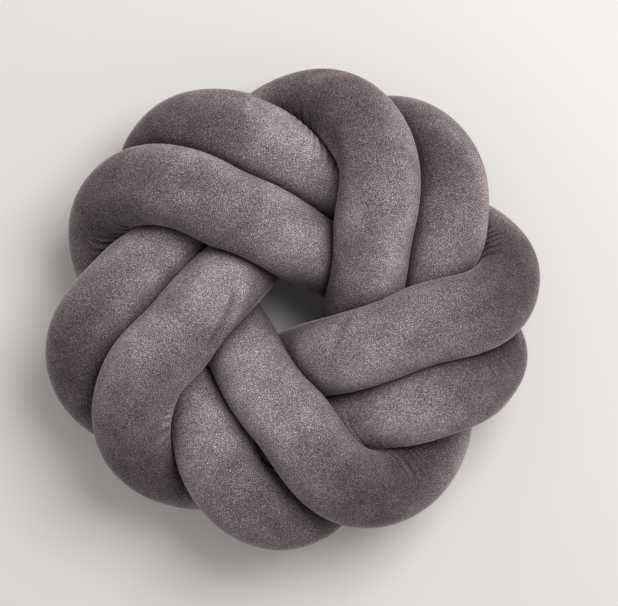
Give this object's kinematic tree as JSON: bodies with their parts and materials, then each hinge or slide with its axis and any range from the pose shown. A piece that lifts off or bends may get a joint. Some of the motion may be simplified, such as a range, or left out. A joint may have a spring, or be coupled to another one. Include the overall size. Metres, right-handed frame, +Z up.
{
  "type": "knotted tube cushion",
  "caption": "Round scatter cushion made of a long stuffed velvet tube knotted over and under itself round a small central hole.",
  "frame": {"origin": "centre of the cushion's outline, on the surface that it lies on", "axes": "+Z up through the cushion's thickness, out of its face; +Y towards the top of the face, +X to the right of it"},
  "size_m": [0.35, 0.342, 0.1365],
  "materials": {
    "velvet": "short-pile polyester velvet, warm grey, matte with a soft sheen at the edges"
  },
  "bodies": {
    "root": {"knotted_tube": "velvet"}
  },
  "joints": []
}
